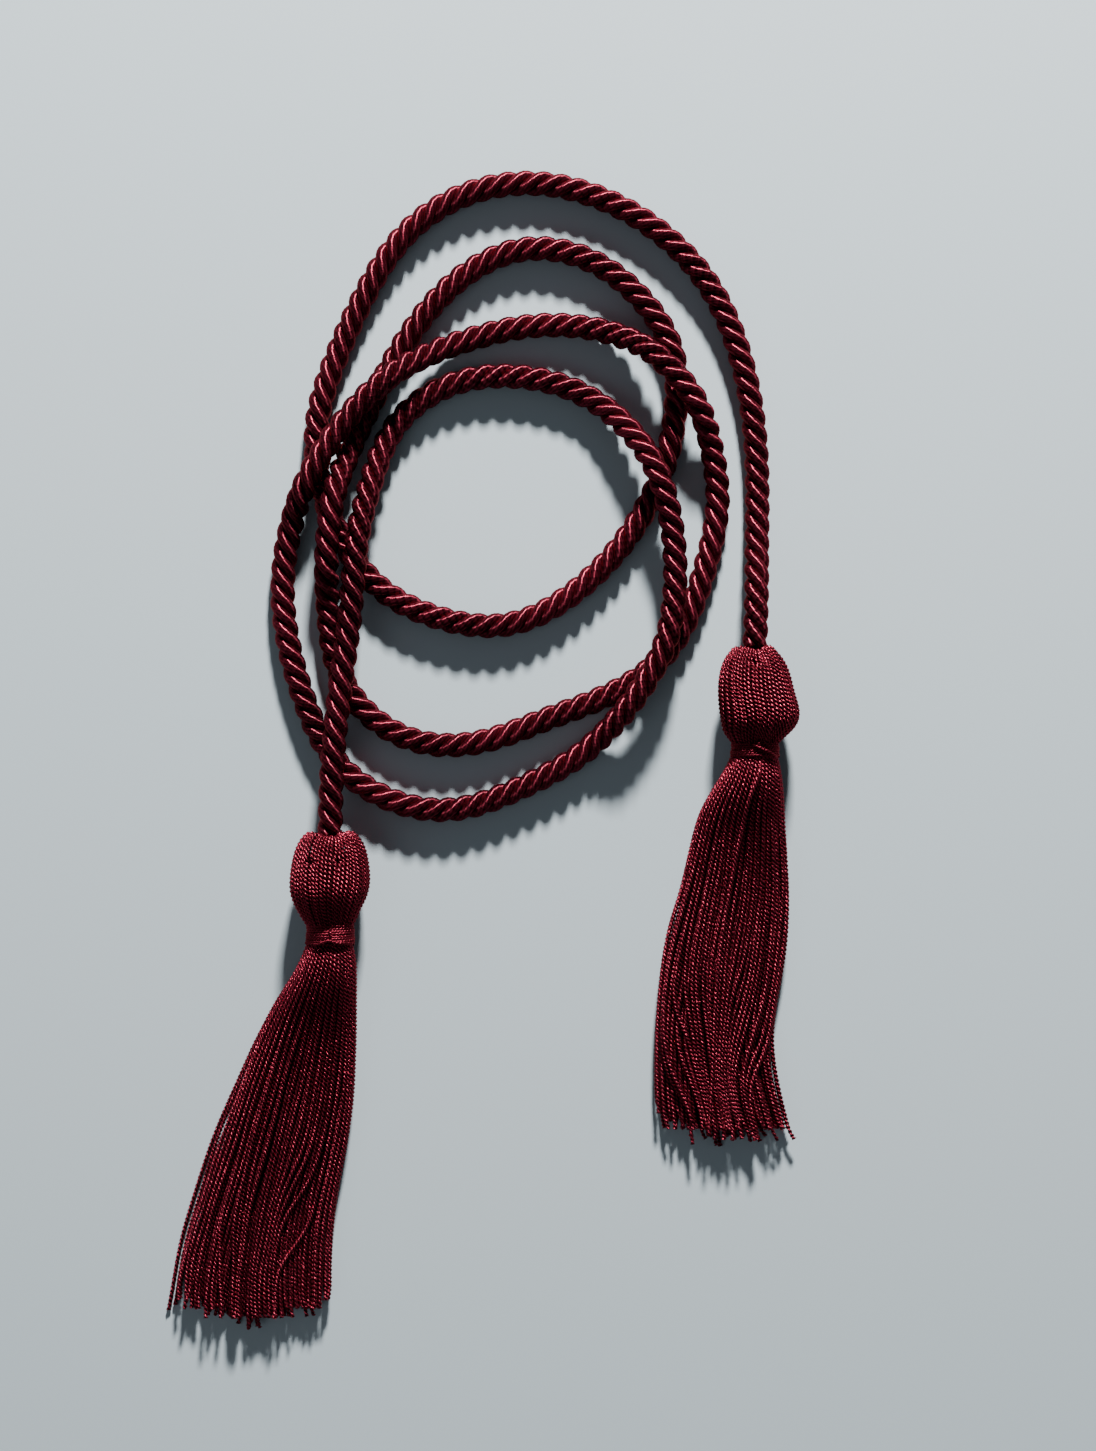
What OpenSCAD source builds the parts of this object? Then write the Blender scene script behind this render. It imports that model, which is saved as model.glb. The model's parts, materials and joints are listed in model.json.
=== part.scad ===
// Tasselled twisted cord: a three-ply satin rope with a tassel on each end, lying in loose loops.
// Millimetres, +Z up from the surface it lies on. The origin is under the middle of the two tassels.

/* [Rope] */
// Diameter of the twisted rope over its three plies
rope_d = 6.4; // [5.6:0.1:6.6]
// Sides of the plain tube that stands for the rope
rope_sides = 10; // [8:1:12]

/* [Tassel heads] */
// Diameter of each head at its widest
head_d = 20; // [18:0.2:20]
// Length of the left head, from crown to neck
left_head_len = 21.4; // [20:0.2:23]
// Length of the right head, from crown to neck
right_head_len = 23.3; // [22:0.2:25]
// Thickness of the layer of folded yarn around the head
fold_t = 2.4; // [1.6:0.2:3]
// Radius of the dimple that the rope leaves from
dimple_r = 3.7; // [3.6:0.1:4]

/* [Neck bindings] */
// Outer diameter of the bound neck
neck_d = 12.6; // [12:0.2:13]
// Diameter of the binding thread
thread_d = 0.8; // [0.6:0.1:1]
// Turns of thread around the left neck
left_turns = 8; // [7:1:9]
// Turns of thread around the right neck
right_turns = 6; // [5:1:7]

/* [Skirts] */
// Radius of the gathered top that the skirt swings on
gather_r = 6.9; // [6.7:0.1:7]
// Depth of that swing point below the binding
gather_drop = 3; // [2.6:0.1:3.4]
// Diameter of one tassel yarn
yarn_d = 1.2; // [1:0.1:1.4]
// Thickness of the skirt's outer layer of yarn
sleeve_t = 1.4; // [1.2:0.1:1.6]
// Ridges around the skirt, one for each bunch of yarns
ridges = 20; // [12:2:24]

/* [Movement] */
// Free gap between parts that move past each other
swing_gap = 0.3; // [0.2:0.05:0.4]

/* [Hidden] */

rope_red = [0.36, 0.05, 0.09];
yarn_red = [0.45, 0.05, 0.11];
core_red = [0.30, 0.03, 0.07];
thread_red = [0.50, 0.07, 0.13];

rope_r = rope_d / 2;
head_r = head_d / 2;
neck_r = neck_d / 2;
axis_z = 10;                        // height of the heads' and necks' axis above the surface
socket_r = gather_r + swing_gap;
round_fn = 64;
small_fn = 24;

left_crown = [-37, 38, axis_z];     // where the rope goes into each head, and the head's swing point
right_crown = [68.3, 84.8, axis_z];
left_binding = left_turns * thread_d;
right_binding = right_turns * thread_d;
left_gather = left_crown - [0, left_head_len + left_binding + gather_drop, 0];
right_gather = right_crown - [0, right_head_len + right_binding + gather_drop, 0];

// The rope's centre line, from the left crown to the right one, with its height above the surface.
rope_route = [
    left_crown, [-36.5, 55, 10], [-34.5, 75, 10.2], [-32, 94, 10.1], [-30.5, 111, 10],
    [-27, 127, 6.4], [-21, 141, 3.2], [-7.5, 151, 3.2], [10, 153, 3.2], [25, 149, 3.2],
    [37, 139.5, 6.8], [44.5, 127.5, 10.2], [48, 113.5, 9], [48.5, 99.5, 9.4], [46, 86, 10.2],
    [38.5, 72.5, 9.6], [26, 59, 3.6], [9, 49.5, 3.2], [-8, 44.5, 3.2], [-22.5, 47, 3.2],
    [-36, 56.5, 3.2], [-43.5, 70.5, 3.2], [-48, 86, 3.2], [-49.5, 101, 3.2], [-47.5, 114.5, 4.8],
    [-42, 128, 10], [-33.5, 141, 10.2], [-24.5, 150.5, 10.2], [-11, 159, 6], [3, 164, 3.2],
    [19, 166, 3.2], [33.5, 163.5, 4.8], [45, 156.5, 10], [53.5, 146.5, 9.6], [58, 134.5, 5],
    [59.5, 121, 3.2], [57, 107.5, 3.2], [52.5, 94, 3.2], [45, 82, 3.2], [31.5, 73, 3.2],
    [16, 67, 3.2], [0, 61.5, 3.2], [-15, 61.5, 3.2], [-27.5, 68, 3.2], [-35.5, 79.5, 3.2],
    [-38, 94, 3.6], [-38, 108, 9], [-36.5, 121, 10], [-32, 136, 4.6], [-25.5, 150, 3.2],
    [-16, 166, 3.2], [-4, 178.5, 3.2], [11, 185, 3.2], [27, 182.5, 3.2], [40, 173, 3.2],
    [48, 160, 3.2], [49, 145, 3.2], [45.5, 129, 3.2], [37, 113, 3.2], [23.5, 99, 3.2],
    [7, 91, 3.2], [-10, 92.5, 3.2], [-25, 100, 3.2], [-34, 111, 3.2], [-40, 126.5, 3.2],
    [-41, 141, 3.2], [-36.5, 157, 3.2], [-29, 173.5, 3.2], [-18, 189.5, 3.2], [-3, 199, 3.2],
    [14, 201.5, 3.2], [31, 197.5, 3.2], [46, 188.5, 3.2], [58, 175, 3.2], [65, 159, 3.2],
    [68.5, 142, 3.2], [69.5, 125, 3.2], [69.3, 112, 4.4], [68.9, 99, 8], right_crown
];

// A head's outline from crown to neck: how far along it is, and its radius, as shares of each.
// The left head is shouldered like an apple, and the right one is narrow at the crown like an onion.
apple = [[0, 0.63], [0.1, 0.82], [0.3, 0.95], [0.5, 1], [0.66, 0.96], [0.83, 0.8], [1, 0.6]];
onion = [[0, 0.45], [0.1, 0.66], [0.26, 0.85], [0.45, 0.94], [0.63, 1], [0.8, 0.93], [0.9, 0.78],
    [1, 0.6]];

// A skirt's stations: distance below the swing point, its left and right edges, and its thickness.
left_skirt = [[0, -6.9, 6.9, 13.8], [7, -11.4, 6.3, 12.6], [17, -17, 6.4, 10.6],
    [30, -22.4, 5.9, 8.8], [40, -26.2, 4.8, 8], [55, -31.2, 1.9, 7], [65, -34.8, 0, 6.4],
    [80, -38.9, -0.6, 5.8], [91.8, -39.6, -0.3, 5.6]];
right_skirt = [[0, -6.9, 6.9, 13.8], [5, -11.6, 7.1, 12.8], [10, -14, 7.4, 11.8],
    [27, -17.8, 8.8, 9.2], [40, -21.5, 8.4, 8], [52, -23.4, 7, 7.2], [62, -24.2, 5.3, 6.6],
    [72, -24.3, 5.3, 6.2], [82, -24.2, 7.3, 5.8], [91, -23.4, 9.9, 5.6]];
settle = 24;                        // distance below the swing point where it reaches the surface
skirt_steps = 2;                    // rings made for each station
settle_curve = 1.5;                 // how sharply it drops to the surface at first
ridge_depth = 0.04;                 // depth of the ridges as a share of the skirt's half width
stray_sides = 8;

// Loose yarns at the left skirt's left edge, and the one that crosses the right skirt, as centre lines.
left_strays = [
    [[-50.5, 0, 5], [-55.6, -11, 3.4], [-61, -24, 1.8], [-66.9, -37, 0.9], [-72.1, -52, 0.65],
        [-75.8, -65, 0.6], [-77.7, -76, 0.6], [-78.5, -81.5, 0.6]],
    [[-49.5, 2, 7.6], [-55.3, -11, 5.4], [-60.7, -24, 3.6], [-65.7, -37, 1.9], [-70.6, -52, 0.8],
        [-74.2, -65, 0.65], [-76, -75, 0.6], [-76.8, -80, 0.6]]
];
right_stray = [[66.5, 50, 16.9], [64.8, 41, 14.6], [63.2, 31, 12.2], [60.8, 19, 10.4], [58.5, 5, 9.2],
    [57, -9, 8.4]];

function unit(v) = v / norm(v);
function smooth_at(p0, p1, p2, p3, f) =
    (2 * p1 + (p2 - p0) * f + (2 * p0 - 5 * p1 + 4 * p2 - p3) * f * f
        + (3 * p1 - p0 - 3 * p2 + p3) * f * f * f) / 2;
// The same points with steps - 1 more between each pair, on a smooth curve through them
function smoothed(p, steps) = [
    for (i = [0:len(p) - 2], s = [0:steps - 1])
        smooth_at(p[max(i - 1, 0)], p[i], p[i + 1], p[min(i + 2, len(p) - 1)], s / steps),
    p[len(p) - 1]
];
function heading(p, i) = unit(p[min(i + 1, len(p) - 1)] - p[max(i - 1, 0)]);
// One ring of a tube, square to the route, with a corner straight down
function tube_ring(p, i, r, sides) =
    let (ahead = heading(p, i), side = unit(cross(ahead, [0, 0, 1])), up = cross(side, ahead))
    [for (k = [0:sides - 1]) let (a = 360 * k / sides) p[i] + r * (side * sin(a) - up * cos(a))];
// Faces between rings of equal size, and over both ends
function ring_faces(rings, n, back = false) = [
    for (i = [0:rings - 2], k = [0:n - 1])
        let (a = i * n + k, b = i * n + (k + 1) % n, c = b + n, d = a + n)
        back ? [a, b, c, d] : [d, c, b, a]
];
function end_faces(rings, n) = [[for (k = [0:n - 1]) k], [for (k = [0:n - 1]) rings * n - 1 - k]];

module tube(route, r, sides) {
    rings = len(route);
    polyhedron([for (i = [0:rings - 1]) each tube_ring(route, i, r, sides)],
        concat(ring_faces(rings, sides), end_faces(rings, sides)));
}

// Lays a shape that is modelled along +Z down along -Y, from a point.
module laid_from(point) {
    translate(point) rotate([90, 0, 0]) children();
}

// ---- Heads. Each is modelled along +Z, from the crown at 0 down to the neck. ----

outline_steps = 3;                  // points made for each given one
bound_r = neck_r - thread_d;        // radius of the yarns under the binding
bound_t = 1;                        // thickness of the folded layer there
puff = 0.5;                         // rise of the crown around its dimple
crest = 0.3;                        // how far outside the dimple that rise starts
crest_flat = 0.2;                   // least width of its flat top
shoulder = 0.8;                     // slope from the flat top out to the outline
mouth = 0.2;                        // how far the dimple narrows below its rim
fold_depth = 4;                     // depth of yarn over the core at the crown
seat_gap = 0.1;                     // extra gap around the ball of the socket
knot_r = 4.6;
knot_depth = 9.5;
stub_r = 3;
stub_drop = 0.9;                    // depth of the stub's top below the swing point
tie_depth = 5.2;
tie_r = 0.5;
tie_bite = 0.2;                     // how far the tie is drawn into the rope's end

function head_outline(shares, length) =
    [for (s = smoothed(shares, outline_steps)) [s[1] * head_r, s[0] * length]];
// How far the neck's yarns stop above the swing point, at a radius
function socket_depth(r) = sqrt(pow(socket_r, 2) - pow(r, 2)) + seat_gap;
// The inside of the folded layer, from under the crown down to the socket in the neck's mouth
function head_lining(shares, length, binding) = concat(
    [for (p = head_outline(shares, length)) if (p[1] > fold_depth) [p[0] - fold_t, p[1]]],
    [[bound_r - bound_t, length + binding + gather_drop - socket_depth(bound_r - bound_t)]]);

// The rope's end inside the head: a short domed stub, and the knot that stops it pulling out
module rope_knot(crown) {
    color(rope_red) laid_from(crown) {
        translate([0, 0, stub_r + stub_drop]) {
            sphere(r = stub_r, $fn = round_fn);
            cylinder(r = stub_r, h = knot_depth - stub_r, $fn = round_fn);
        }
        translate([0, 0, knot_depth]) sphere(r = knot_r, $fn = round_fn);
    }
}

// The thread ring that ties the middle of the hank of yarns to the rope's end
module hank_tie(crown) {
    color(thread_red) laid_from(crown)
        translate([0, 0, tie_depth]) rotate_extrude($fn = round_fn)
            translate([stub_r + tie_r - tie_bite, 0]) circle(r = tie_r, $fn = small_fn);
}

// The ball that clears the swinging top of the skirt
module socket(crown, reach) {
    laid_from(crown) translate([0, 0, reach + gather_drop]) sphere(r = socket_r, $fn = round_fn);
}

// The yarns inside the head, packed around the knot and down through the bound neck
module head_core(crown, shares, length, binding) {
    lining = head_lining(shares, length, binding);
    color(core_red) difference() {
        laid_from(crown) rotate_extrude($fn = round_fn) polygon(concat(
            [[0, fold_depth], [lining[0][0], fold_depth]],
            lining,
            [[0, length + binding]]));
        rope_knot(crown);
        hank_tie(crown);
        socket(crown, length + binding);
    }
}

// The layer of yarns folded over the crown and drawn in at the neck
module head_folds(crown, shares, length, binding) {
    outline = head_outline(shares, length);
    lining = head_lining(shares, length, binding);
    mouth_r = dimple_r - mouth;
    crest_r = dimple_r + crest;
    color(yarn_red) laid_from(crown) rotate_extrude($fn = round_fn) polygon(concat(
        [[mouth_r, fold_depth], [mouth_r, sqrt(pow(dimple_r, 2) - pow(mouth_r, 2))], [dimple_r, 0]],
        [[crest_r, -puff], [max(crest_r + crest_flat, outline[0][0] - shoulder), -puff]],
        outline,
        [[bound_r, length + binding + gather_drop - socket_depth(bound_r)]],
        [for (i = [len(lining) - 1:-1:0]) lining[i]],
        [[lining[0][0], fold_depth]]));
}

// The thread wound round the neck, one rounded ridge for each turn
module neck_binding(crown, length, turns) {
    color(thread_red) difference() {
        laid_from(crown) translate([0, 0, length]) rotate_extrude($fn = round_fn) polygon(concat(
            [[bound_r, turns * thread_d], [bound_r, 0]],
            [for (i = [0:turns - 1], a = [15:30:165])
                [neck_r - thread_d / 2 * (1 - sin(a)), (i + (1 - cos(a)) / 2) * thread_d]]));
        socket(crown, length + turns * thread_d);
    }
}

// ---- Skirts. Each hangs from its swing point, just below the binding. ----

// The gathered top of the skirt, which rolls in the mouth of the neck
module skirt_gather(pivot) {
    color(yarn_red) laid_from(pivot) difference() {
        sphere(r = gather_r, $fn = round_fn);
        translate([0, 0, gather_r]) cube(2 * gather_r, center = true);
    }
}

function skirt_ring(pivot, s, inset) =
    let (mid = (s[1] + s[2]) / 2, half_w = (s[2] - s[1]) / 2 - inset, half_h = s[3] / 2 - inset,
        lift = (axis_z - gather_r) * pow(max(0, 1 - s[0] / settle), settle_curve),
        depth = inset > 0 ? 0 : ridge_depth * min(1, s[0] / settle))
    [for (k = [0:2 * ridges - 1]) let (a = 180 * k / ridges, f = 1 - depth * (k % 2))
        [pivot[0] + mid + f * half_w * cos(a), pivot[1] - s[0], lift + s[3] / 2 + f * half_h * sin(a)]];

module skirt_loft(pivot, stations) {
    rings = smoothed(stations, skirt_steps);
    m = len(rings);
    n = 2 * ridges;
    polyhedron([for (s = rings) each skirt_ring(pivot, s, sleeve_t)],
        concat(ring_faces(m, n, true),
            [for (f = end_faces(m, n)) [for (k = [n - 1:-1:0]) f[k]]]));
}

// The yarns in the middle of the skirt
module skirt_core(pivot, stations) {
    color(core_red) skirt_loft(pivot, stations);
}

// The outer yarns of the skirt, a ridged sleeve around the middle ones
module skirt_folds(pivot, stations) {
    rings = smoothed(stations, skirt_steps);
    m = len(rings);
    n = 2 * ridges;
    inner = m * n;
    color(yarn_red) polyhedron(
        concat([for (s = rings) each skirt_ring(pivot, s, 0)],
            [for (s = rings) each skirt_ring(pivot, s, sleeve_t)]),
        concat(ring_faces(m, n, true),
            [for (f = ring_faces(m, n)) [for (v = f) v + inner]],
            [for (k = [0:n - 1]) let (j = (k + 1) % n) [k, inner + k, inner + j, j]],
            [for (k = [0:n - 1]) let (j = (k + 1) % n, e = (m - 1) * n)
                [e + k, e + j, inner + e + j, inner + e + k]]));
}

module stray_yarns(routes) {
    color(yarn_red) for (r = routes) tube(smoothed(r, 2), yarn_d / 2, stray_sides);
}

// ---- The pieces ----

// The whole rope, from crown to crown
module twisted_rope() {
    color(rope_red) tube(rope_route, rope_r, rope_sides);
}

module left_rope_knot() { rope_knot(left_crown); }
module left_hank_tie() { hank_tie(left_crown); }
module left_head_core() { head_core(left_crown, apple, left_head_len, left_binding); }
module left_head_folds() { head_folds(left_crown, apple, left_head_len, left_binding); }
module left_neck_binding() { neck_binding(left_crown, left_head_len, left_turns); }
module left_skirt_gather() { skirt_gather(left_gather); }
module left_skirt_core() { skirt_core(left_gather, left_skirt); }
module left_skirt_folds() { skirt_folds(left_gather, left_skirt); }
module left_stray_yarns() { stray_yarns(left_strays); }

module right_rope_knot() { rope_knot(right_crown); }
module right_hank_tie() { hank_tie(right_crown); }
module right_head_core() { head_core(right_crown, onion, right_head_len, right_binding); }
module right_head_folds() { head_folds(right_crown, onion, right_head_len, right_binding); }
module right_neck_binding() { neck_binding(right_crown, right_head_len, right_turns); }
module right_skirt_gather() { skirt_gather(right_gather); }
module right_skirt_core() { skirt_core(right_gather, right_skirt); }
module right_skirt_folds() { skirt_folds(right_gather, right_skirt); }
module right_stray_yarn() { stray_yarns([right_stray]); }

twisted_rope();
left_rope_knot();
left_hank_tie();
left_head_core();
left_head_folds();
left_neck_binding();
left_skirt_gather();
left_skirt_core();
left_skirt_folds();
left_stray_yarns();
right_rope_knot();
right_hank_tie();
right_head_core();
right_head_folds();
right_neck_binding();
right_skirt_gather();
right_skirt_core();
right_skirt_folds();
right_stray_yarn();
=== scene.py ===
import json
import math

import bpy
import numpy as np
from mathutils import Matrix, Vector


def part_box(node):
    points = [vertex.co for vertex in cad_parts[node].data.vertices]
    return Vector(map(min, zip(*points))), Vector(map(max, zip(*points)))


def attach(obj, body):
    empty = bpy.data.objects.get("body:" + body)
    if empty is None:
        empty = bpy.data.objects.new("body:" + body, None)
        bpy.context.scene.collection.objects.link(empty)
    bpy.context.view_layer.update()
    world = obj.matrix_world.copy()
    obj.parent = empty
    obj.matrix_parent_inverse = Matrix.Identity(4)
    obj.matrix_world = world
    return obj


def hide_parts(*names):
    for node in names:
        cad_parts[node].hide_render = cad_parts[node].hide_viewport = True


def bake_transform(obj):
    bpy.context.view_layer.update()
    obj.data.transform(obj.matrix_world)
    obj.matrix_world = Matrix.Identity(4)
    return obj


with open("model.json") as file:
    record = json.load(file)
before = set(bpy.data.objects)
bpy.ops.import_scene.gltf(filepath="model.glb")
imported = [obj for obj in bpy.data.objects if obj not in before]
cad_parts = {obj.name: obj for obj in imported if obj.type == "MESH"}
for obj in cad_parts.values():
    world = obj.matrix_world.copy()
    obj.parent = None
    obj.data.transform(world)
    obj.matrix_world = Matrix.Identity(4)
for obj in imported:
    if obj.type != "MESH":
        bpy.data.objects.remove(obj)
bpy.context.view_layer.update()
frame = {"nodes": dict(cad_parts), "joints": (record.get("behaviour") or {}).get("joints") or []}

MM = 0.001
TURN = 2 * math.pi

# ---------------------------------------------------------------- dimensions

ROPE_D = 0.0064                 # over the three plies
ROPE_R = ROPE_D / 2
LAY = 0.0135                    # length of one full turn of a ply
PLIES = 3
PLY_WIDE = 0.00146              # half size of a ply along the rope's surface,
PLY_DEEP = 0.00160              # and out from the rope's axis
PLY_YARNS = 10                  # yarns around one ply
PLY_RELIEF = 0.00002            # depth of the grooves between them
PLY_TURN = 0.060                # one full turn of those yarns round the ply
PLY_POINTS = 28                 # points around a ply's outline
ROPE_STEP = 0.0007              # between rings along the rope

YARN_R = 0.00062                # tassel yarn, at its widest
YARN_PITCH = 0.0021             # one full turn of its two strands
YARN_WAIST = 0.42               # how far its outline is drawn in between the strands
SPACING = 0.00115               # between skirt yarns packed side by side
SKIRT_YARNS = 140
HEAD_YARNS = 56
THREAD_R = 0.00042              # neck binding
THREAD_PITCH = 0.0018
THREAD_WAIST = 0.18

# The rope's centre line from the left crown to the right one, as in the CAD source.
ROUTE = [
    (-0.037, 0.038, 0.010), (-0.0365, 0.055, 0.010), (-0.0345, 0.075, 0.0102), (-0.032, 0.094, 0.0101),
    (-0.0305, 0.111, 0.010), (-0.027, 0.127, 0.0064), (-0.021, 0.141, 0.0032), (-0.0075, 0.151, 0.0032),
    (0.010, 0.153, 0.0032), (0.025, 0.149, 0.0032), (0.037, 0.1395, 0.0068), (0.0445, 0.1275, 0.0102),
    (0.048, 0.1135, 0.009), (0.0485, 0.0995, 0.0094), (0.046, 0.086, 0.0102), (0.0385, 0.0725, 0.0096),
    (0.026, 0.059, 0.0036), (0.009, 0.0495, 0.0032), (-0.008, 0.0445, 0.0032), (-0.0225, 0.047, 0.0032),
    (-0.036, 0.0565, 0.0032), (-0.0435, 0.0705, 0.0032), (-0.048, 0.086, 0.0032), (-0.0495, 0.101, 0.0032),
    (-0.0475, 0.1145, 0.0048), (-0.042, 0.128, 0.010), (-0.0335, 0.141, 0.0102), (-0.0245, 0.1505, 0.0102),
    (-0.011, 0.159, 0.006), (0.003, 0.164, 0.0032), (0.019, 0.166, 0.0032), (0.0335, 0.1635, 0.0048),
    (0.045, 0.1565, 0.010), (0.0535, 0.1465, 0.0096), (0.058, 0.1345, 0.005), (0.0595, 0.121, 0.0032),
    (0.057, 0.1075, 0.0032), (0.0525, 0.094, 0.0032), (0.045, 0.082, 0.0032), (0.0315, 0.073, 0.0032),
    (0.016, 0.067, 0.0032), (0.0, 0.0615, 0.0032), (-0.015, 0.0615, 0.0032), (-0.0275, 0.068, 0.0032),
    (-0.0355, 0.0795, 0.0032), (-0.038, 0.094, 0.0036), (-0.038, 0.108, 0.009), (-0.0365, 0.121, 0.010),
    (-0.032, 0.136, 0.0046), (-0.0255, 0.150, 0.0032), (-0.016, 0.166, 0.0032), (-0.004, 0.1785, 0.0032),
    (0.011, 0.185, 0.0032), (0.027, 0.1825, 0.0032), (0.040, 0.173, 0.0032), (0.048, 0.160, 0.0032),
    (0.049, 0.145, 0.0032), (0.0455, 0.129, 0.0032), (0.037, 0.113, 0.0032), (0.0235, 0.099, 0.0032),
    (0.007, 0.091, 0.0032), (-0.010, 0.0925, 0.0032), (-0.025, 0.100, 0.0032), (-0.034, 0.111, 0.0032),
    (-0.040, 0.1265, 0.0032), (-0.041, 0.141, 0.0032), (-0.0365, 0.157, 0.0032), (-0.029, 0.1735, 0.0032),
    (-0.018, 0.1895, 0.0032), (-0.003, 0.199, 0.0032), (0.014, 0.2015, 0.0032), (0.031, 0.1975, 0.0032),
    (0.046, 0.1885, 0.0032), (0.058, 0.175, 0.0032), (0.065, 0.159, 0.0032), (0.0685, 0.142, 0.0032),
    (0.0695, 0.125, 0.0032), (0.0693, 0.112, 0.0044), (0.0689, 0.099, 0.008), (0.0683, 0.0848, 0.010),
]

# ---------------------------------------------------------------- camera, light and floor

FRAME_H = 1451 * 0.25 * MM      # height of the view at the object
CAMERA_MID = (0.017, 0.0656)
CAMERA_UP = 0.62                # above the object's middle height
MIDDLE = 0.005
LIT_SPOT = Vector((0, 0.06, 0))
FLOOR_HALF = 4.0


def camera():
    """Straight above, as the object was seen."""
    data = bpy.data.cameras.new("camera")
    cam = bpy.data.objects.new("camera", data)
    bpy.context.scene.collection.objects.link(cam)
    data.sensor_fit = "VERTICAL"
    data.angle = 2 * math.atan(FRAME_H / 2 / CAMERA_UP)
    data.clip_start = 0.01
    cam.location = (CAMERA_MID[0], CAMERA_MID[1], CAMERA_UP + MIDDLE)
    bpy.context.scene.camera = cam


def lamp(name, at, size, watts, colour):
    light = bpy.data.lights.new(name, "AREA")
    light.shape = "SQUARE"
    light.size = size
    light.energy = watts
    light.color = colour
    o = bpy.data.objects.new(name, light)
    o.location = at
    o.rotation_euler = (LIT_SPOT - Vector(at)).to_track_quat("-Z", "Y").to_euler()
    bpy.context.scene.collection.objects.link(o)


def sky(colour, strength):
    world = bpy.data.worlds.new("world")
    world.use_nodes = True
    background = world.node_tree.nodes["Background"]
    background.inputs["Color"].default_value = colour + (1,)
    background.inputs["Strength"].default_value = strength
    bpy.context.scene.world = world


def floor():
    s = FLOOR_HALF
    mesh = bpy.data.meshes.new("floor")
    mesh.from_pydata([(-s, -s, 0), (s, -s, 0), (s, s, 0), (-s, s, 0)], [], [(0, 1, 2, 3)])
    o = bpy.data.objects.new("floor", mesh)
    bpy.context.scene.collection.objects.link(o)
    paint = Paint("floor_pale")
    paint.shader.inputs["Base Color"].default_value = (0.345, 0.415, 0.455, 1)
    paint.shader.inputs["Roughness"].default_value = 0.7
    mesh.materials.append(paint.material)


# ---------------------------------------------------------------- materials

class Paint:
    """A new node material, with short ways to add nodes to it."""

    def __init__(self, name):
        self.material = bpy.data.materials.new(name)
        self.material.use_nodes = True
        self.nodes = self.material.node_tree.nodes
        self.shader = self.nodes["Principled BSDF"]

    def link(self, output, socket):
        self.material.node_tree.links.new(output, socket)

    def node(self, kind, **values):
        """A node, with values given to its sockets by name."""
        n = self.nodes.new(kind)
        for name, value in values.items():
            n.inputs[name].default_value = value
        return n

    def calc(self, op, *terms):
        """One Math node on sockets or numbers."""
        n = self.nodes.new("ShaderNodeMath")
        n.operation = op
        for i, term in enumerate(terms):
            if isinstance(term, (int, float)):
                n.inputs[i].default_value = term
            else:
                self.link(term, n.inputs[i])
        return n.outputs[0]

    def base_colour(self, share, dark, light):
        """The base colour goes from dark to light with share."""
        mix = self.nodes.new("ShaderNodeMix")
        mix.data_type = "RGBA"
        self.link(share, mix.inputs[0])
        mix.inputs[6].default_value = dark + (1,)
        mix.inputs[7].default_value = light + (1,)
        self.link(mix.outputs[2], self.shader.inputs["Base Color"])


GLOSS = {"Metallic": 0.82, "Specular IOR Level": 0.5, "Specular Tint": (1.0, 0.30, 0.36, 1)}


def fibre_material(name, dark, light, turn, streaks, filaments, relief, rough, ridges, contrast,
                   stretch, along):
    """Shiny rayon. Streaks and finer filaments, so many to a strand, wind once round it in turn
    metres. The strand has so many ridges around it, and its colour is darker between them: painted
    shade in the grooves. Its highlight is stretched along it, as on a smooth ply, or round it, as on
    straight fibres."""
    paint = Paint(name)
    calc = paint.calc
    uv = paint.nodes.new("ShaderNodeUVMap")
    uv.uv_map = "strand"
    parts = paint.nodes.new("ShaderNodeSeparateXYZ")
    paint.link(uv.outputs[0], parts.inputs[0])
    around, length = parts.outputs[0], parts.outputs[1]
    tint = paint.nodes.new("ShaderNodeAttribute")
    tint.attribute_name = "tint"
    own = tint.outputs["Fac"]

    # a place on a long cylinder that follows the filaments, so the pattern has no seam
    wound = calc("MULTIPLY_ADD", length, 1 / turn, around)
    angle = calc("MULTIPLY", wound, TURN)
    place = calc("MULTIPLY_ADD", own, 50, length)

    def fibres(count, stretched, detail):
        where = paint.nodes.new("ShaderNodeCombineXYZ")
        paint.link(calc("COSINE", angle), where.inputs[0])
        paint.link(calc("SINE", angle), where.inputs[1])
        paint.link(calc("MULTIPLY", place, stretched), where.inputs[2])
        noise = paint.node("ShaderNodeTexNoise", Scale=count / TURN, Detail=detail)
        paint.link(where.outputs[0], noise.inputs["Vector"])
        return noise.outputs["Fac"]

    coarse = fibres(streaks, 60, 1)
    fine = fibres(filaments, 25, 1)
    slow = fibres(1, 30, 0)

    bump = paint.node("ShaderNodeBump", Strength=1.0, Distance=relief)
    paint.link(calc("MULTIPLY_ADD", coarse, 1.4, fine), bump.inputs["Height"])
    paint.link(bump.outputs[0], paint.shader.inputs["Normal"])

    # painted shade: the base colour darkens in the grooves between the ridges, where shade falls, and
    # lightens on the crests
    painted_shade_wave = calc("COSINE", calc("MULTIPLY", around, TURN * ridges))
    share = calc("MULTIPLY_ADD", coarse, 1.6, -1.04)
    for pattern, weight in ((painted_shade_wave, contrast), (fine, 0.7), (own, 0.34), (slow, 0.5)):
        share = calc("MULTIPLY_ADD", pattern, weight, share)
    paint.base_colour(share, dark, light)

    paint.link(calc("MULTIPLY_ADD", fine, 0.16, rough), paint.shader.inputs["Roughness"])
    for socket, value in GLOSS.items():
        paint.shader.inputs[socket].default_value = value
    tangent = paint.nodes.new("ShaderNodeTangent")
    tangent.direction_type = "UV_MAP"
    tangent.uv_map = "strand"
    paint.link(tangent.outputs[0], paint.shader.inputs["Tangent"])
    paint.shader.inputs["Anisotropic"].default_value = stretch
    paint.shader.inputs["Anisotropic Rotation"].default_value = 0.25 if along else 0.0
    return paint.material


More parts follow.
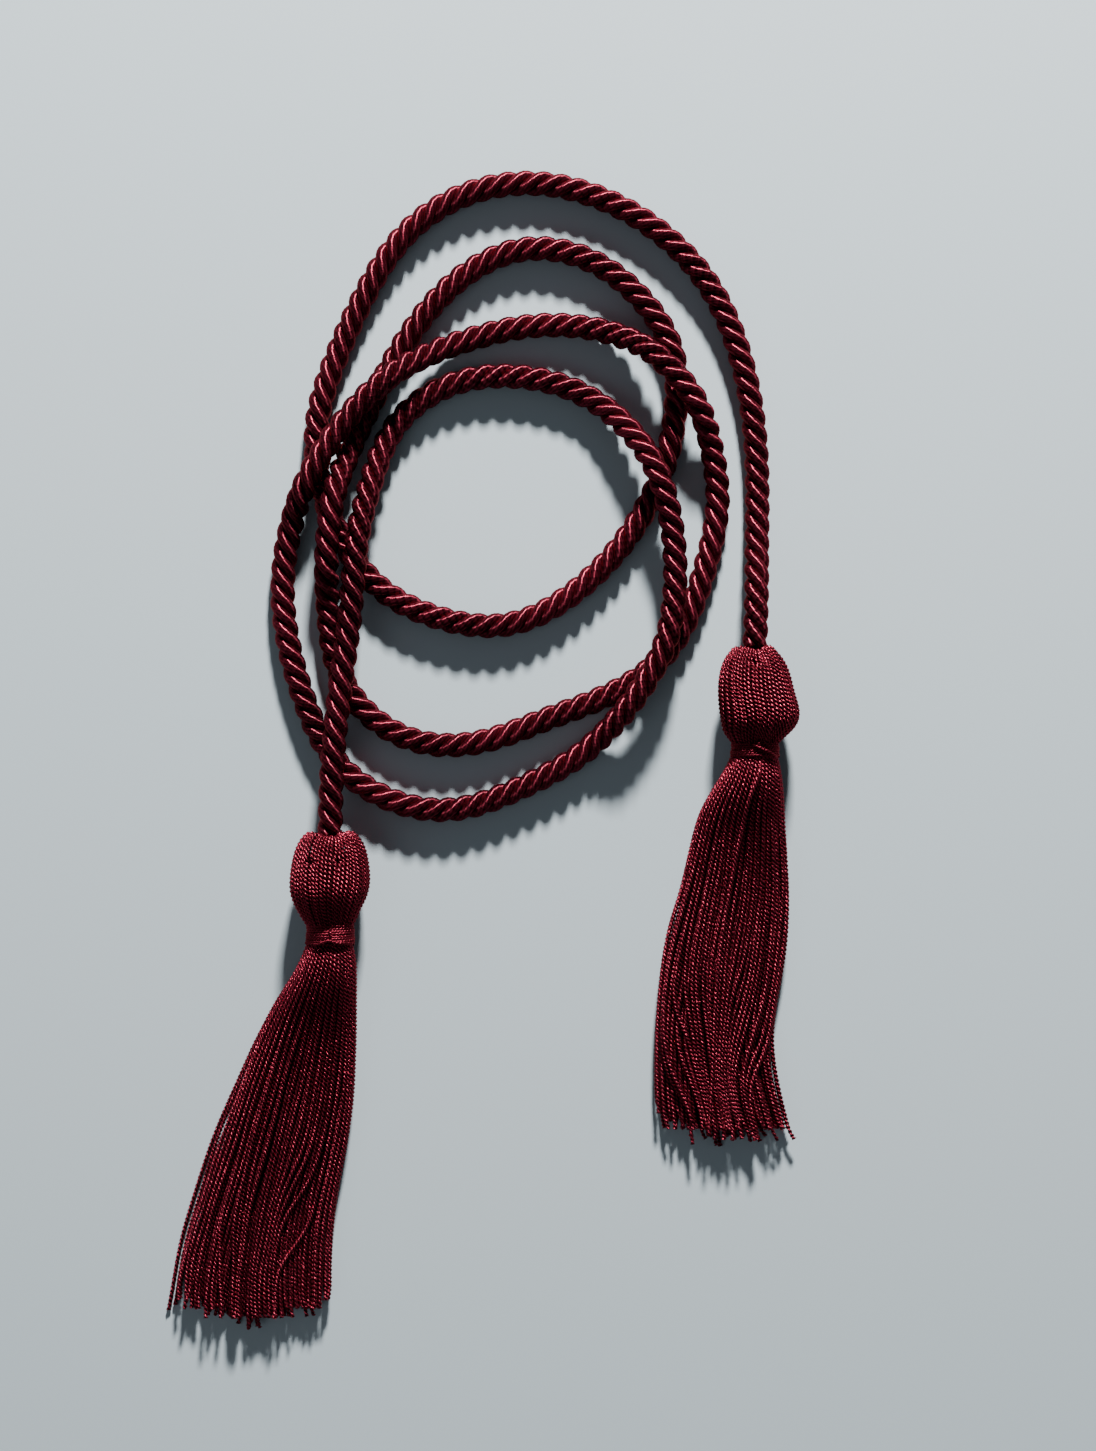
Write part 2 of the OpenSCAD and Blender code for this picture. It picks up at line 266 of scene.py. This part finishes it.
def packed_shade_material():
    """The yarns pressed together inside a head, seen only between the folds. Its near-black colour is painted
    shade, far darker than the same yarns outside.
    """
    paint = Paint("packed_yarn")
    coordinates = paint.nodes.new("ShaderNodeTexCoord")
    stretch = paint.node("ShaderNodeMapping", Scale=(900, 90, 900))
    paint.link(coordinates.outputs["Object"], stretch.inputs["Vector"])
    noise = paint.node("ShaderNodeTexNoise", Scale=1)
    paint.link(stretch.outputs[0], noise.inputs["Vector"])
    # painted shade: a near-black base colour stands for the shade between the folds
    paint.base_colour(noise.outputs["Fac"], (0.006, 0.0002, 0.001), (0.05, 0.001, 0.005))
    rough = paint.calc("MULTIPLY_ADD", noise.outputs["Fac"], 0.2, 0.6)
    paint.link(rough, paint.shader.inputs["Roughness"])
    paint.shader.inputs["Specular IOR Level"].default_value = 0.1
    return paint.material


# ---------------------------------------------------------------- strands

class Bundle:
    """Tubes of any section, collected into one mesh: closed ends, a UV along and around, and a tint each."""

    def __init__(self):
        self.tubes = []

    def add(self, rings, along, tint):
        self.tubes.append((np.asarray(rings), np.asarray(along), float(tint)))

    def build(self, name, material):
        verts, tints, quads, quad_uv, caps, cap_uv = [], [], [], [], [], []
        base = 0
        for rings, along, tint in self.tubes:
            m, n = rings.shape[:2]
            verts.append(rings.reshape(-1, 3))
            tints.append(np.full(m * n, tint))
            i, k = np.meshgrid(np.arange(m - 1), np.arange(n), indexing="ij")
            i, k = i.ravel(), k.ravel()
            j = (k + 1) % n
            quads.append(base + np.stack([i * n + k, i * n + j, (i + 1) * n + j, (i + 1) * n + k], 1))
            u0, u1, v0, v1 = k / n, (k + 1) / n, along[i], along[i + 1]
            quad_uv.append(np.stack([u0, v0, u1, v0, u1, v1, u0, v1], 1).reshape(-1, 2))
            caps += [base + np.arange(n)[::-1], base + (m - 1) * n + np.arange(n)]
            cap_uv += [np.full((n, 2), (0.0, along[0])), np.full((n, 2), (0.0, along[-1]))]
            base += m * n
        quads = np.concatenate(quads)
        corners = np.concatenate([quads.ravel()] + caps)
        sizes = np.concatenate([np.full(len(quads), 4), [len(c) for c in caps]])
        mesh = bpy.data.meshes.new(name)
        mesh.vertices.add(base)
        mesh.vertices.foreach_set("co", np.concatenate(verts).astype(np.float32).ravel())
        mesh.loops.add(len(corners))
        mesh.loops.foreach_set("vertex_index", corners.astype(np.int32))
        mesh.polygons.add(len(sizes))
        mesh.polygons.foreach_set("loop_start", (np.cumsum(sizes) - sizes).astype(np.int32))
        mesh.polygons.foreach_set("use_smooth", np.ones(len(sizes), bool))
        uv = mesh.uv_layers.new(name="strand")
        uv.data.foreach_set("uv", np.concatenate(quad_uv + cap_uv).astype(np.float32).ravel())
        mesh.update(calc_edges=True)
        mesh.attributes.new("tint", "FLOAT", "POINT").data.foreach_set(
            "value", np.concatenate(tints).astype(np.float32))
        mesh.materials.append(material)
        o = bpy.data.objects.new(name, mesh)
        bpy.context.scene.collection.objects.link(o)
        return o


def unit(v):
    return v / np.maximum(np.linalg.norm(v, axis=-1, keepdims=True), 1e-12)


def lengths(p):
    return np.r_[0, np.cumsum(np.linalg.norm(np.diff(p, axis=0), axis=1))]


def resampled(p, step):
    """The same line with evenly spaced points, about step apart."""
    s = lengths(p)
    t = np.linspace(0, s[-1], max(int(round(s[-1] / step)), 2) + 1)
    return np.stack([np.interp(t, s, p[:, i]) for i in range(3)], 1)


def smooth_curve(points, step):
    """A cubic spline through the points in plan, with heights that never overshoot them."""
    p = np.asarray(points, float)
    t = lengths(p)
    h = np.diff(t)
    n = len(p)
    a = np.zeros((n, n))
    b = np.zeros((n, 2))
    a[0, 0] = a[-1, -1] = 1
    for i in range(1, n - 1):
        a[i, i - 1:i + 2] = h[i - 1], 2 * (h[i - 1] + h[i]), h[i]
        b[i] = 6 * ((p[i + 1, :2] - p[i, :2]) / h[i] - (p[i, :2] - p[i - 1, :2]) / h[i - 1])
    bend = np.linalg.solve(a, b)
    s = np.arange(0, t[-1], step)
    k = np.clip(np.searchsorted(t, s, side="right") - 1, 0, n - 2)
    f, g, w = (t[k + 1] - s)[:, None], (s - t[k])[:, None], h[k][:, None]
    plan = (bend[k] * f ** 3 + bend[k + 1] * g ** 3) / (6 * w) \
        + (p[k, :2] / w - bend[k] * w / 6) * f + (p[k + 1, :2] / w - bend[k + 1] * w / 6) * g
    rise = np.diff(p[:, 2]) / h
    slope = np.zeros(n)
    same = rise[:-1] * rise[1:] > 0
    slope[1:-1][same] = 2 * rise[:-1][same] * rise[1:][same] / (rise[:-1] + rise[1:])[same]
    x = (g / w)[:, 0]
    z = (1 + 2 * x) * (1 - x) ** 2 * p[k, 2] + x * (1 - x) ** 2 * h[k] * slope[k] \
        + x * x * (3 - 2 * x) * p[k + 1, 2] + x * x * (x - 1) * h[k] * slope[k + 1]
    return resampled(np.vstack([np.column_stack([plan, z]), p[-1]]), step)


def tube(line, up_hint, section, turns=None):
    """Rings along line of a section, whose points are (side, up). up_hint gives the up direction,
    and turns the section's turn at each point of the line."""
    ahead = unit(np.gradient(line, axis=0))
    side = unit(np.cross(ahead, np.broadcast_to(up_hint, line.shape)))
    up = np.cross(side, ahead)
    if turns is not None:
        c, s = np.cos(turns)[:, None], np.sin(turns)[:, None]
        side, up = side * c + up * s, up * c - side * s
    section = np.asarray(section)
    if section.ndim == 2:
        section = np.broadcast_to(section, (len(line),) + section.shape)
    return line[:, None] + side[:, None] * section[..., :1] + up[:, None] * section[..., 1:]


def two_strand(n, r, waist):
    """The outline of two strands side by side, r at its widest and drawn in between them."""
    t = np.arange(n) / n * TURN
    radius = r * (1 + waist * np.cos(2 * t)) / (1 + waist)
    return np.stack([radius * np.cos(t), radius * np.sin(t)], 1)


def bell(x, width):
    """A smooth hump, 1 at 0."""
    return np.exp(-(x / width) ** 2)


# ---------------------------------------------------------------- rope

def rope(material):
    """Three satin plies laid round one another. Each is attached to the rope, so they go together."""
    line = smooth_curve(ROUTE, ROPE_STEP)
    s = lengths(line)
    ahead = unit(np.gradient(line, axis=0))
    side = unit(np.cross(ahead, (0, 0, 1)))
    up = np.cross(side, ahead)
    around = np.arange(PLY_POINTS) / PLY_POINTS * TURN
    groove = PLY_RELIEF * (np.cos(PLY_YARNS * around) - 1)
    for k in range(PLIES):
        a = TURN * s / LAY + TURN * k / PLIES
        out = side * np.cos(a)[:, None] + up * np.sin(a)[:, None]
        ply = line + out * (ROPE_R - PLY_DEEP)
        ply_ahead = unit(np.gradient(ply, axis=0))
        across = unit(np.cross(ply_ahead, out))
        out = np.cross(across, ply_ahead)
        ply_s = lengths(ply)
        turned = around + TURN * ply_s[:, None] / PLY_TURN
        x = (PLY_WIDE + groove) * np.cos(turned)
        y = (PLY_DEEP + groove) * np.sin(turned)
        bundle = Bundle()
        bundle.add(ply[:, None] + across[:, None] * x[..., None] + out[:, None] * y[..., None], ply_s, 0.5)
        o = bundle.build("rope_ply_%s" % "abc"[k], material)
        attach(o, "rope")
    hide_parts("twisted_rope")


# ---------------------------------------------------------------- tassels

class Tassel:
    """Sizes and places of one tassel, read from the CAD nodes and joints."""

    def __init__(self, side):
        self.side = side
        self.stray = "_stray_yarns" if side == "left" else "_stray_yarn"
        joints = {j["name"]: j["pos_m"] for j in frame["joints"]}
        self.crown = np.array(joints[side + "_head_swing"])
        self.pivot = np.array(joints[side + "_skirt_swing"])
        self.envelope = self.outline(frame["nodes"][side + "_skirt_folds"].data.vertices)
        low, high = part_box(side + "_neck_binding")
        self.neck_low, self.neck_high = low[1], high[1]
        self.neck_down = self.crown[1] - high[1]
        self.neck_x = (low[0] + high[0]) / 2
        self.neck_r = (high[0] - low[0]) / 2

    def outline(self, vertices):
        """Rows of distance below the swing point, low and high X, and low and high Z."""
        p = np.empty(len(vertices) * 3)
        vertices.foreach_get("co", p)
        p = p.reshape(-1, 3)
        rows = []
        for y in np.unique(np.round(p[:, 1], 5))[::-1]:
            ring = p[np.abs(p[:, 1] - y) < 2e-5]
            x, z = ring[:, 0], ring[:, 2]
            rows.append((self.pivot[1] - y, x.min(), x.max(), z.min(), z.max()))
        return np.array(rows)


# The skirt's radius inside and just below the binding, at distances below the swing point
NECK_D = [-0.007, -0.0045, -0.003, -0.0022, -0.001, 0]
NECK_R = [0.0048, 0.0052, 0.0059, 0.0064, 0.0068, 0.0069]
PUFF = 0.0008                   # how much the skirt springs up as it leaves the binding


def skirt_section(t, d):
    """Middle and half size of the skirt's outline at d below the swing point, in X and in Z."""
    puff = PUFF * bell(d - 0.004, 0.0045)
    if d <= 0:
        r = np.interp(d, NECK_D, NECK_R)
        return t.pivot[0], r, t.pivot[2] + puff, r
    e = t.envelope
    left, right, low, high = (np.interp(d, e[:, 0], e[:, i]) for i in range(1, 5))
    return (left + right) / 2, (right - left) / 2, (low + high + puff) / 2, (high - low + puff) / 2


def relaxed_yarns(t, count):
    """Paths of the skirt's yarns. They spread from the bound neck, push each other apart and keep
    inside its outline, which grows squarer on its way down."""
    ends = t.envelope[-1, 0]
    stations = np.r_[np.arange(-0.007, ends, 0.0022), ends]
    golden = math.pi * (3 - math.sqrt(5))
    i = np.arange(count)
    r = np.sqrt((i + 0.5) / count)
    q = np.stack([r * np.cos(i * golden), r * np.sin(i * golden)], 1)
    paths = []
    for d in stations:
        cx, w, cz, h = skirt_section(t, d)
        w, h = w - YARN_R * 0.6, h - YARN_R
        p = q * (w, h)
        power = 2 + 1.4 * min(max(d / 0.04, 0), 1)
        for _ in range(60):
            gap = p[:, None] - p[None]
            dist = np.sqrt((gap ** 2).sum(-1)) + np.eye(count)
            push = np.clip(SPACING - dist, 0, None) / dist
            np.fill_diagonal(push, 0)
            p = p + 0.26 * (gap * push[..., None]).sum(1)
            over = (np.abs(p / (w, h)) ** power).sum(1) ** (1 / power)
            p = p / np.maximum(over, 1)[:, None]
        q = p / (w, h)
        p[:, 0] = np.interp(p[:, 0], [p[:, 0].min(), p[:, 0].max()], [-w, w])
        paths.append(np.stack([cx + p[:, 0], np.full(count, t.pivot[1] - d), cz + p[:, 1]], 1))
    return np.stack(paths, 1), stations


def blurred(p, width):
    """Each path smoothed along its length, with its ends kept."""
    k = np.exp(-0.5 * (np.arange(-3 * width, 3 * width + 1) / width) ** 2)
    k /= k.sum()
    pad = len(k) // 2
    out = np.empty_like(p)
    for i in range(len(p)):
        for c in range(3):
            row = p[i, :, c]
            row = np.r_[2 * row[0] - row[pad:0:-1], row, 2 * row[-1] - row[-2:-pad - 2:-1]]
            out[i, :, c] = np.convolve(row, k, "valid")
    return out


def add_yarn(bundle, line, rng, step=0.00032, points=7, up=(0, 0, 1), squeeze=None):
    """One yarn of two twisted strands along a line, with a blunt cut end. squeeze narrows it
    across the line."""
    line = resampled(line, step)
    s = lengths(line)
    pitch = YARN_PITCH * rng.uniform(0.93, 1.07)
    turns = TURN * s / pitch + rng.uniform(0, TURN)
    outline = two_strand(points, YARN_R, YARN_WAIST)
    c, w = np.cos(turns)[:, None], np.sin(turns)[:, None]
    x = outline[:, 0] * c - outline[:, 1] * w
    y = outline[:, 0] * w + outline[:, 1] * c
    section = np.stack([x, y], -1)
    f = s / s[-1]
    if squeeze is not None:
        section[..., 0] *= np.interp(f, np.linspace(0, 1, len(squeeze)), squeeze)[:, None]
    section = section * (1 + 0.14 * bell(s[-1] - s, 0.0005))[:, None, None]
    if len(np.shape(up)) == 2:
        up = np.stack([np.interp(f, np.linspace(0, 1, len(up)), up[:, c]) for c in range(3)], 1)
    bundle.add(tube(line, up, section), s, rng.random())


def ended(line, stop, rng):
    """The line cut, or carried on, to end at Y = stop, with a slight curl in its last stretch."""
    ahead = unit(line[-1] - line[-3])
    beyond = line[-1, 1] - stop
    if beyond > 0:
        line = np.vstack([line, line[-1] + ahead * beyond * 0.5, line[-1] + ahead * beyond])
    else:
        line = line[line[:, 1] > stop]
    line = resampled(line, 0.0006)
    s = lengths(line)
    curled = 0.004
    tip = np.clip((s - (s[-1] - curled)) / curled, 0, 1) ** 2
    curl = rng.normal(0, 0.0005, 2)
    line[:, 0] += tip * curl[0]
    line[:, 2] = np.maximum(line[:, 2] + tip * curl[1], YARN_R)
    return line


def waved(t, paths, stations, rng):
    """The paths with a slow drift that neighbours share, and a small waver of their own."""
    wave = rng.uniform(0, TURN, 2)
    x, d = paths[..., 0] - t.pivot[0], stations[None]
    drift = 0.00018 * np.sin(TURN * x / 0.0083 + wave[0] + d * 28) \
        + 0.00013 * np.sin(TURN * x / 0.0051 + wave[1] - d * 40)
    phase, pace, size = rng.normal(0, 1, (len(paths), 3)).T[..., None]
    waver = 0.00012 * np.sin(d * 150 * (1 + 0.2 * pace) + phase * 6) * size.clip(-1.5, 1.5)
    paths[..., 0] += np.clip(d / 0.03, 0, 1) * (drift + waver)
    return blurred(paths, 2)


def skirt(t, material, end_line, strays, seed):
    """All the yarns of one skirt. Those at the outside have finer rings than those within."""
    rng = np.random.default_rng(seed)
    paths, stations = relaxed_yarns(t, SKIRT_YARNS)
    paths = waved(t, paths, stations, rng)

    # how deep each lies under the outline, and how high, over the lower part of the skirt
    cx, w, cz, h = np.array([skirt_section(t, s) for s in stations]).T
    lower = len(stations) // 3
    rel = np.hypot((paths[..., 0] - cx) / w, (paths[..., 2] - cz) / h)
    depth = ((1 - rel) * np.minimum(w, h))[:, lower:].mean(1)
    rise = ((paths[..., 2] - cz) / h)[:, lower:].mean(1)
    outer = depth < np.sort(depth)[int(SKIRT_YARNS * 0.42)]

    # some of the uppermost lie across their neighbours at a slant
    fall = np.clip((stations - 0.012) / 0.07, 0, 1)
    for i in np.flatnonzero(outer & (rise > 0.3)):
        if rng.random() < 0.16:
            slant = rng.choice([-1, 1]) * rng.uniform(0.0007, 0.0017)
            paths[i, :, 0] = np.clip(paths[i, :, 0] + slant * fall, cx - w, cx + w)
            paths[i, :, 2] += 0.0006 * np.clip(fall * 6, 0, 1)

    groups = {"upper": Bundle(), "lower": Bundle(), "inner": Bundle()}
    for i in range(SKIRT_YARNS):
        u = (paths[i, -1, 0] - cx[-1]) / w[-1]
        stop = np.interp(u, [-1, -0.88, 0, 1], end_line) + rng.normal(0, 0.0007)
        if rng.random() < 0.07:
            stop -= rng.uniform(0.001, 0.0035)
        line = ended(paths[i], stop, rng)
        if outer[i]:
            add_yarn(groups["upper" if rise[i] > 0 else "lower"], line, rng)
        else:
            add_yarn(groups["inner"], line, rng, step=0.0006, points=5)
    for stray in strays:
        add_yarn(groups["upper"], smooth_curve(stray, 0.0005), rng)

    nodes = {"upper": ("_skirt_folds", t.stray), "lower": ("_skirt_folds",),
             "inner": ("_skirt_core", "_skirt_gather")}
    for key, bundle in groups.items():
        o = bundle.build("%s_skirt_%s_yarns" % (t.side, key), material)
        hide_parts(*[t.side + n for n in nodes[key]])
        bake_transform(o)


def head(t, material, profile, lean, pits, seed):
    """The yarns folded over the crown, from inside its dimple down to the binding. The head leans
    by lean metres in X at its top and where it is widest."""
    rng = np.random.default_rng(seed)
    knots = np.array(profile) * MM
    knots = np.vstack([knots, (t.neck_down + 0.0012, 0.0050), (t.neck_down + 0.0042, 0.0048)])
    flat = np.column_stack([knots, np.zeros(len(knots))])
    curve = resampled(smooth_curve(flat, 0.0003), 0.0003)
    d, r = curve[:, 0], curve[:, 1]
    s = lengths(curve)
    widest = 0.0175
    lean_x = lean[1] * bell(d - widest, np.where(d > widest, 0.0035, 0.006)) + lean[0] * bell(d, 0.005)
    bundle = Bundle()
    for i in range(HEAD_YARNS):
        a0 = TURN * (i + rng.uniform(-0.12, 0.12)) / HEAD_YARNS
        f = s / s[-1]
        a = a0 + 0.03 * np.sin(TURN * f + 3 * a0) + 0.012 * rng.normal() * np.sin(np.pi * f)
        rr = r + (0.00008 if i % 2 else -0.00010) + rng.uniform(-0.00016, 0.00016)
        for at_d, at_a, width, depth in pits:
            # yarns part round a pit in the crown, and dip into it
            near = bell(d - at_d, 0.0008)
            off = a - at_a
            a = a + near * width * np.sign(off) * bell(off, 0.24)
            rr = rr - depth * near * bell(off, 0.16)
        # the folds stand unevenly round the rope, and lowest at the seen side
        rise = 0.00015 * np.cos(a0 - 0.5) + 0.0002 * np.sin(5 * a0 + seed) + 0.00018 * rng.normal()
        rise -= 0.0008 * bell(a0 - np.pi / 2, 0.42)
        y = t.crown[1] - d + (rise + 0.00015) * bell(s - 0.0042, 0.0035)
        line = np.stack([t.crown[0] + lean_x + rr * np.cos(a), y, t.crown[2] + rr * np.sin(a)], 1)
        line[:, 2] = np.maximum(line[:, 2], YARN_R)
        out = np.stack([np.cos(a), np.zeros_like(a), np.sin(a)], 1)
        squeeze = np.clip(TURN * rr / HEAD_YARNS * 1.3 / (2 * YARN_R), 0.6, 1.15)
        add_yarn(bundle, line, rng, step=0.00026, points=8, up=out, squeeze=squeeze)
    o = bundle.build(t.side + "_head_yarns", material)
    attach(o, t.side + "_head")
    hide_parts(t.side + "_head_folds")


def binding(t, material, turns, crossing, seed):
    """The thread wound round the neck, turn beside turn, and its ends drawn down across the
    others. crossing lists points in millimetres, across the neck and up from its lower edge."""
    a = np.linspace(0, turns * TURN, int(turns * 60))
    f = a / a[-1]
    low, high = t.neck_low + 0.0003, t.neck_high - 0.0003
    r = t.neck_r - THREAD_R - 0.0003 * (1 - f) + 0.00007 * np.sin(a * 0.73 + seed) + 0.00005 * np.sin(a * 3.1)
    y = high + (low - high) * f + 0.00007 * np.sin(a * 1.37)
    lines = [np.stack([t.neck_x + r * np.cos(a), y, t.pivot[2] + r * np.sin(a)], 1)]
    for points in crossing:
        x, y = np.array(points).T * MM
        g = np.linspace(0, 1, 40)
        x, y = (np.interp(g, np.linspace(0, 1, len(points)), v) for v in (x, y))
        x, y = blurred(np.stack([x, y, 0 * x], 1)[None], 2)[0, :, :2].T
        reach = t.neck_r + THREAD_R * (0.75 - 1.3 * np.abs(2 * g - 1) ** 6)
        z = np.sqrt(np.maximum(reach ** 2 - x ** 2, 0))
        lines.append(np.stack([t.neck_x + x, t.neck_low + y, t.pivot[2] + z], 1))
    bundle = Bundle()
    outline = two_strand(8, THREAD_R * 0.92, THREAD_WAIST)
    for line in lines:
        line = resampled(line, 0.00025)
        out = line - np.array([t.neck_x, 0, t.pivot[2]])
        out[:, 1] = 0
        s = lengths(line)
        bundle.add(tube(line, unit(out), outline, TURN * s / THREAD_PITCH), s, 0.6)
    o = bundle.build(t.side + "_binding_thread", material)
    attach(o, t.side + "_head")
    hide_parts(t.side + "_neck_binding")


# Each head's outline: distance below the crown and radius of its yarns' middle, in millimetres
APPLE = [
    (2.6, 3.85), (0.6, 3.95), (-0.3, 4.4), (-0.5, 5.2), (0.1, 6.3), (1.3, 7.3), (2.9, 8.05),
    (5, 8.65), (8, 9.15), (11, 9.35), (14, 9.0), (15.5, 8.5), (17, 7.8), (18.5, 7.05), (20, 6.3),
    (21.2, 5.6),
]
ONION = [
    (2.8, 3.7), (1.1, 3.7), (0.35, 4.0), (0.45, 4.6), (1.2, 5.35), (2.0, 6.05), (3.0, 6.8),
    (4.3, 7.5), (5.8, 8.05), (8.8, 8.7), (11.8, 9.1), (14.8, 9.4), (17.8, 9.1), (19.3, 8.55),
    (20.8, 7.6), (22.2, 6.3), (23.2, 5.5),
]

# pits: distance below the crown, angle from +X, how far the yarns part and how deep they dip
# ends: the end line's Y at the skirt's left edge, just inside it, in the middle and at the right
TASSELS = {
    "left": dict(
        seed=11,
        head=dict(profile=APPLE, lean=(0.0001, -0.0004),
                  pits=[(0.0060, 2.07, 0.05, 0.0006), (0.0056, 1.26, 0.045, 0.0005)]),
        binding=dict(turns=8, crossing=[[(-3.6, 0.5), (-2.0, 0.9), (0.2, 1.9), (2.2, 1.1), (4.9, 1.0)],
                                        [(0.4, 3.9), (0.9, 3.0), (0.5, 2.2)]]),
        skirt=dict(end_line=(-0.0780, -0.0800, -0.0842, -0.0803), strays=[
            [(-0.0415, 0.0095, 0.0125), (-0.0455, 0.003, 0.0090), (-0.0505, -0.004, 0.0058),
             (-0.0556, -0.0125, 0.0036), (-0.0610, -0.024, 0.0018), (-0.0667, -0.037, 0.0009),
             (-0.0718, -0.052, 0.0007), (-0.0755, -0.065, 0.0007), (-0.0775, -0.076, 0.0007),
             (-0.0785, -0.0815, 0.0007)],
            [(-0.0420, 0.010, 0.0118), (-0.0460, 0.0035, 0.0100), (-0.0503, -0.003, 0.0080),
             (-0.0553, -0.0125, 0.0058), (-0.0607, -0.025, 0.0036), (-0.0656, -0.037, 0.0019),
             (-0.0704, -0.052, 0.0008), (-0.0742, -0.065, 0.0007), (-0.0760, -0.075, 0.0007),
             (-0.0768, -0.0802, 0.0007)]])),
    "right": dict(
        seed=23,
        head=dict(profile=ONION, lean=(-0.0004, 0.0012), pits=[(0.0034, 1.66, 0.06, 0.0010)]),
        binding=dict(turns=6, crossing=[[(-1.2, 3.5), (0.6, 2.7), (2.6, 1.9), (4.8, 0.4)],
                                        [(0.8, 4.4), (0.2, 3.6), (0.7, 2.9)]]),
        skirt=dict(end_line=(-0.0305, -0.0352, -0.0370, -0.0368), strays=[
            [(0.0695, 0.0575, 0.0150), (0.0685, 0.053, 0.0166), (0.0665, 0.0475, 0.0157),
             (0.0648, 0.040, 0.0133), (0.0632, 0.031, 0.0115), (0.0612, 0.019, 0.0096),
             (0.0595, 0.006, 0.0082), (0.0585, -0.008, 0.0073), (0.0580, -0.022, 0.0068),
             (0.0572, -0.0365, 0.0062)]])),
}

# ---------------------------------------------------------------- build

camera()
lamp("key", (0.14, 1.18, 0.56), 0.13, 78, (1.0, 0.97, 0.94))
lamp("fill", (-0.7, -0.5, 1.0), 1.0, 2.0, (0.90, 0.95, 1.0))
sky((0.86, 0.93, 1.0), 0.11)

# contrast: how far painted shade darkens each strand in the grooves between its ridges
rope_satin = fibre_material(
    "rope_satin", dark=(0.009, 0.0009, 0.0020), light=(0.125, 0.012, 0.024), turn=0.0013, streaks=3,
    filaments=9, relief=0.00006, rough=0.27, ridges=PLY_YARNS, contrast=0.28, stretch=0.95, along=True)
yarn_rayon = fibre_material(
    "yarn_rayon", dark=(0.006, 0.0005, 0.0013), light=(0.21, 0.018, 0.036), turn=-0.0026, streaks=7,
    filaments=22, relief=0.00006, rough=0.22, ridges=2, contrast=0.65, stretch=0.8, along=False)
thread_rayon = fibre_material(
    "thread_rayon", dark=(0.006, 0.0005, 0.0013), light=(0.17, 0.014, 0.028), turn=-0.002, streaks=6,
    filaments=18, relief=0.00005, rough=0.24, ridges=2, contrast=0.3, stretch=0.8, along=False)

floor()
rope(rope_satin)
for side, made in TASSELS.items():
    tassel = Tassel(side)
    head(tassel, yarn_rayon, seed=made["seed"], **made["head"])
    binding(tassel, thread_rayon, seed=made["seed"] + 1, **made["binding"])
    skirt(tassel, yarn_rayon, seed=made["seed"] + 2, **made["skirt"])

# the pieces inside the heads and rope get a base colour of painted shade
packed = packed_shade_material()
for node in frame["nodes"].values():
    node.data.materials.clear()
    node.data.materials.append(packed)
